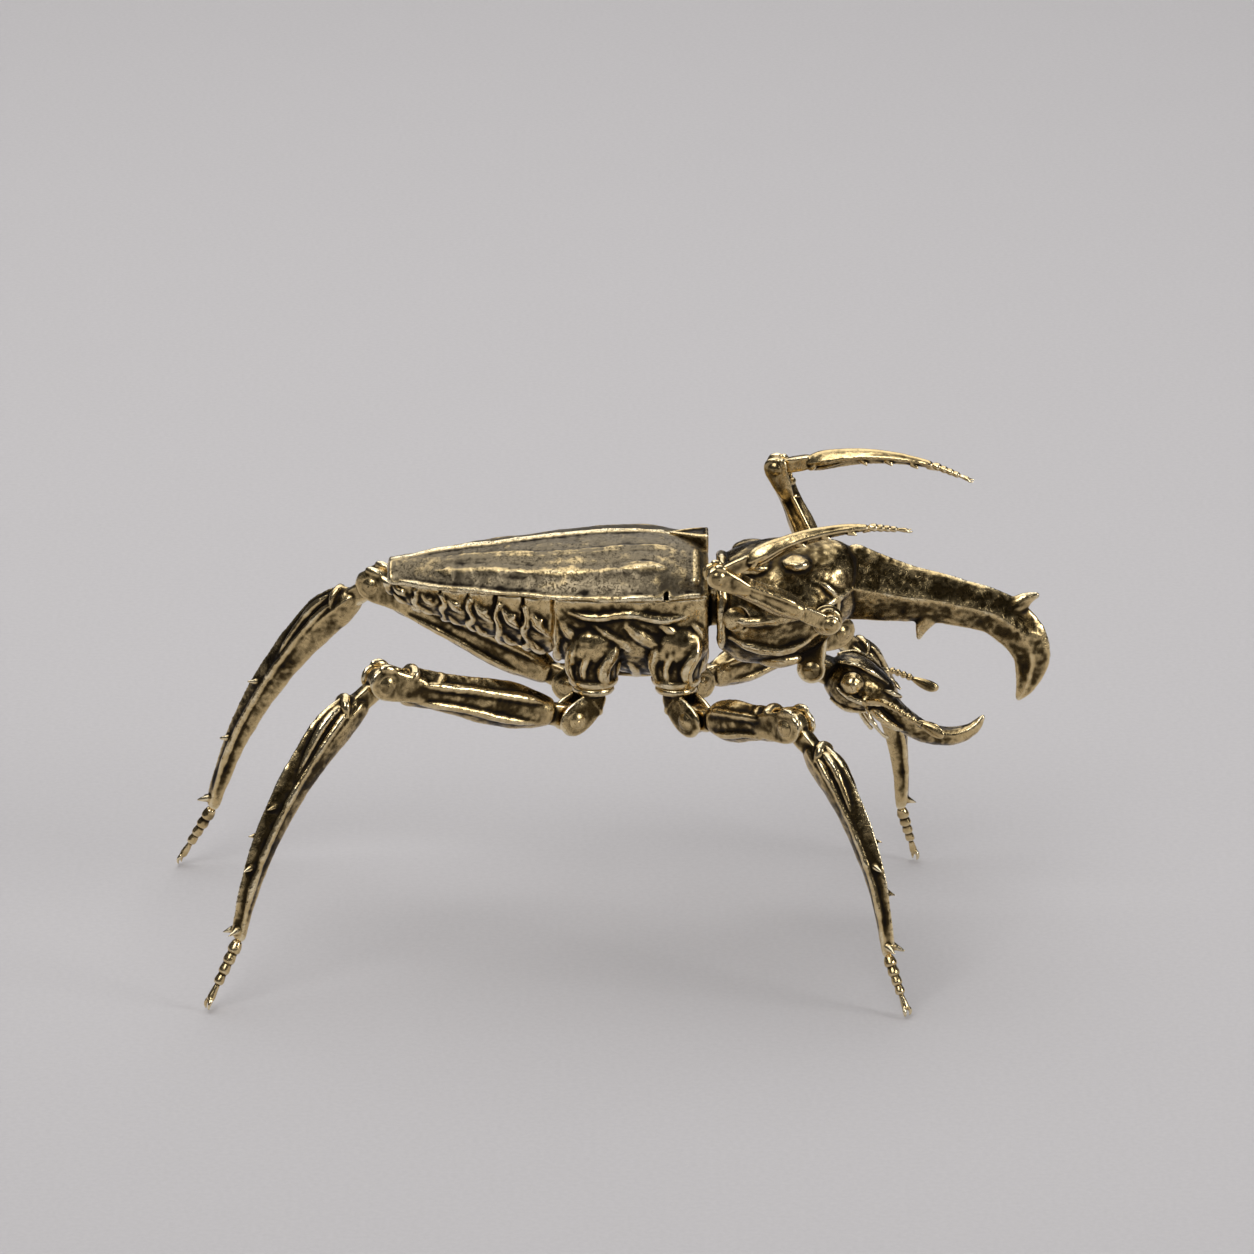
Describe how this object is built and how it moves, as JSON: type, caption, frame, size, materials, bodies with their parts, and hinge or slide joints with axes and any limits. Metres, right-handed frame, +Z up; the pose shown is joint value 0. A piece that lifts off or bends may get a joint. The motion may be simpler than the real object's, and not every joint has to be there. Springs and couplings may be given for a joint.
{
  "type": "brass insect figurine",
  "caption": "Old brass horned beetle that rears up on long arched legs, front legs raised, with riveted leg, neck and head joints that stay where they are put.",
  "frame": {"origin": "on the floor, under the middle of the whole object's box", "axes": "+X towards the horns, +Y towards the beetle's left, +Z up"},
  "size_m": [0.109, 0.0606, 0.06],
  "materials": {
    "old_brass": "cast and chased, dark in the recesses, rubbed bright on the edges",
    "rubbed_brass": "rubbed bright"
  },
  "bodies": {
    "torso": {"thorax": "old_brass", "abdomen": "old_brass", "wing_case_left": "old_brass", "wing_case_right": "old_brass", "scutellum": "old_brass"},
    "shield": {"pronotum": "old_brass", "neck_pin": "rubbed_brass", "head_pin": "rubbed_brass", "fore_right_coxa": "old_brass", "fore_right_shoulder_pin": "rubbed_brass", "fore_left_coxa": "old_brass", "fore_left_shoulder_pin": "rubbed_brass"},
    "head": {"head": "old_brass", "antenna_left": "old_brass", "antenna_right": "old_brass"},
    "hind_right_coxa": {"hind_right_coxa": "old_brass", "hind_right_hip_pin": "rubbed_brass"},
    "hind_right_femur": {"hind_right_femur": "old_brass", "hind_right_knee_pin": "rubbed_brass"},
    "hind_right_tibia": {"hind_right_tibia": "old_brass", "hind_right_tarsus": "old_brass"},
    "hind_left_coxa": {"hind_left_coxa": "old_brass", "hind_left_hip_pin": "rubbed_brass"},
    "hind_left_femur": {"hind_left_femur": "old_brass", "hind_left_knee_pin": "rubbed_brass"},
    "hind_left_tibia": {"hind_left_tibia": "old_brass", "hind_left_tarsus": "old_brass"},
    "mid_right_coxa": {"mid_right_coxa": "old_brass", "mid_right_hip_pin": "rubbed_brass"},
    "mid_right_femur": {"mid_right_femur": "old_brass", "mid_right_knee_pin": "rubbed_brass"},
    "mid_right_tibia": {"mid_right_tibia": "old_brass", "mid_right_tarsus": "old_brass"},
    "mid_left_coxa": {"mid_left_coxa": "old_brass", "mid_left_hip_pin": "rubbed_brass"},
    "mid_left_femur": {"mid_left_femur": "old_brass", "mid_left_knee_pin": "rubbed_brass"},
    "mid_left_tibia": {"mid_left_tibia": "old_brass", "mid_left_tarsus": "old_brass"},
    "fore_right_femur": {"fore_right_femur": "old_brass", "fore_right_knee_pin": "rubbed_brass"},
    "fore_right_tibia": {"fore_right_tibia": "old_brass", "fore_right_tarsus": "old_brass"},
    "fore_left_femur": {"fore_left_femur": "old_brass", "fore_left_knee_pin": "rubbed_brass"},
    "fore_left_tibia": {"fore_left_tibia": "old_brass", "fore_left_tarsus": "old_brass"}
  },
  "joints": [
    {"name": "neck_nod", "type": "hinge", "parent": "torso", "child": "shield", "pos_m": [0.01593, 0.00025, 0.0428], "axis": [0, -1, 0], "range_deg": [-7, 7]},
    {"name": "head_nod", "type": "hinge", "parent": "shield", "child": "head", "pos_m": [0.02523, 0.00025, 0.0352], "axis": [0, -1, 0], "range_deg": [-18, 8]},
    {"name": "hind_right_swing", "type": "hinge", "parent": "torso", "child": "hind_right_coxa", "pos_m": [-0.00127, -0.00555, 0.0344], "axis": [0, 0, 1], "range_deg": [-10, 25]},
    {"name": "hind_right_lift", "type": "hinge", "parent": "hind_right_coxa", "child": "hind_right_femur", "pos_m": [-0.00399, -0.00682, 0.0306], "axis": [-0.4226, 0.9063, 0], "range_deg": [-12, 12]},
    {"name": "hind_right_knee", "type": "hinge", "parent": "hind_right_femur", "child": "hind_right_tibia", "pos_m": [-0.02656, -0.01734, 0.0384], "axis": [-0.4226, 0.9063, 0], "range_deg": [-20, 20]},
    {"name": "hind_left_swing", "type": "hinge", "parent": "torso", "child": "hind_left_coxa", "pos_m": [-0.00127, 0.00605, 0.0344], "axis": [0, 0, -1], "range_deg": [-10, 25]},
    {"name": "hind_left_lift", "type": "hinge", "parent": "hind_left_coxa", "child": "hind_left_femur", "pos_m": [-0.00404, 0.00721, 0.0306], "axis": [0.3875, 0.9219, 0], "range_deg": [-12, 12]},
    {"name": "hind_left_knee", "type": "hinge", "parent": "hind_left_femur", "child": "hind_left_tibia", "pos_m": [-0.02819, 0.01737, 0.0403], "axis": [0.3875, 0.9219, 0], "range_deg": [-20, 20]},
    {"name": "mid_right_swing", "type": "hinge", "parent": "torso", "child": "mid_right_coxa", "pos_m": [0.00873, -0.00555, 0.0344], "axis": [0, 0, 1], "range_deg": [-20, 8]},
    {"name": "mid_right_lift", "type": "hinge", "parent": "mid_right_coxa", "child": "mid_right_femur", "pos_m": [0.01099, -0.00752, 0.0306], "axis": [-0.6561, -0.7547, 0], "range_deg": [-12, 12]},
    {"name": "mid_right_knee", "type": "hinge", "parent": "mid_right_femur", "child": "mid_right_tibia", "pos_m": [0.02277, -0.01775, 0.033], "axis": [-0.6561, -0.7547, 0], "range_deg": [-20, 20]},
    {"name": "mid_left_swing", "type": "hinge", "parent": "torso", "child": "mid_left_coxa", "pos_m": [0.00873, 0.00605, 0.0344], "axis": [0, 0, -1], "range_deg": [-20, 8]},
    {"name": "mid_left_lift", "type": "hinge", "parent": "mid_left_coxa", "child": "mid_left_femur", "pos_m": [0.0111, 0.00789, 0.0306], "axis": [0.6129, -0.7902, 0], "range_deg": [-12, 12]},
    {"name": "mid_left_knee", "type": "hinge", "parent": "mid_left_femur", "child": "mid_left_tibia", "pos_m": [0.02848, 0.02137, 0.033], "axis": [0.6129, -0.7902, 0], "range_deg": [-20, 20]},
    {"name": "fore_right_shoulder", "type": "hinge", "parent": "shield", "child": "fore_right_femur", "pos_m": [0.02723, -0.00895, 0.043], "axis": [-0.1736, 0.9848, 0], "range_deg": [-10, 25]},
    {"name": "fore_right_elbow", "type": "hinge", "parent": "fore_right_femur", "child": "fore_right_tibia", "pos_m": [0.01351, -0.01137, 0.04979], "axis": [0.1736, -0.9848, 0], "range_deg": [-3, 40]},
    {"name": "fore_left_shoulder", "type": "hinge", "parent": "shield", "child": "fore_left_femur", "pos_m": [0.02723, 0.00945, 0.043], "axis": [0.1736, 0.9848, 0], "range_deg": [-30, 12]},
    {"name": "fore_left_elbow", "type": "hinge", "parent": "fore_left_femur", "child": "fore_left_tibia", "pos_m": [0.02102, 0.01055, 0.05716], "axis": [-0.1736, -0.9848, 0], "range_deg": [-3, 40]}
  ]
}
